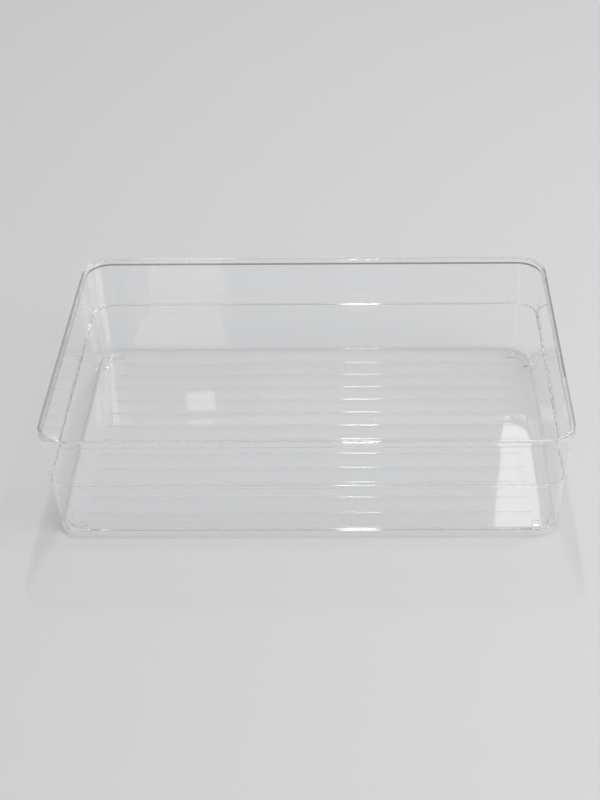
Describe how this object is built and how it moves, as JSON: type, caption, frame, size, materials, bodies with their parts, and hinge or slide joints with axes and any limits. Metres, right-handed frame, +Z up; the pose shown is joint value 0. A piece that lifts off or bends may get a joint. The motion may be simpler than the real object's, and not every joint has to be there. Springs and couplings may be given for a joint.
{
  "type": "organizer tray",
  "caption": "Clear moulded plastic tray, open on top, that holds small things in a drawer: thin drafted walls with a step and a banded rim, on low curved feet.",
  "frame": {"origin": "middle of the surface that the feet stand on", "axes": "+X along the long side, +Y along the short side, +Z up, out of the open top"},
  "size_m": [0.2286, 0.1524, 0.054],
  "materials": {
    "clear_plastic": "clear, polished, faintly blue at the edges"
  },
  "bodies": {
    "root": {"tray": "clear_plastic"}
  },
  "joints": []
}
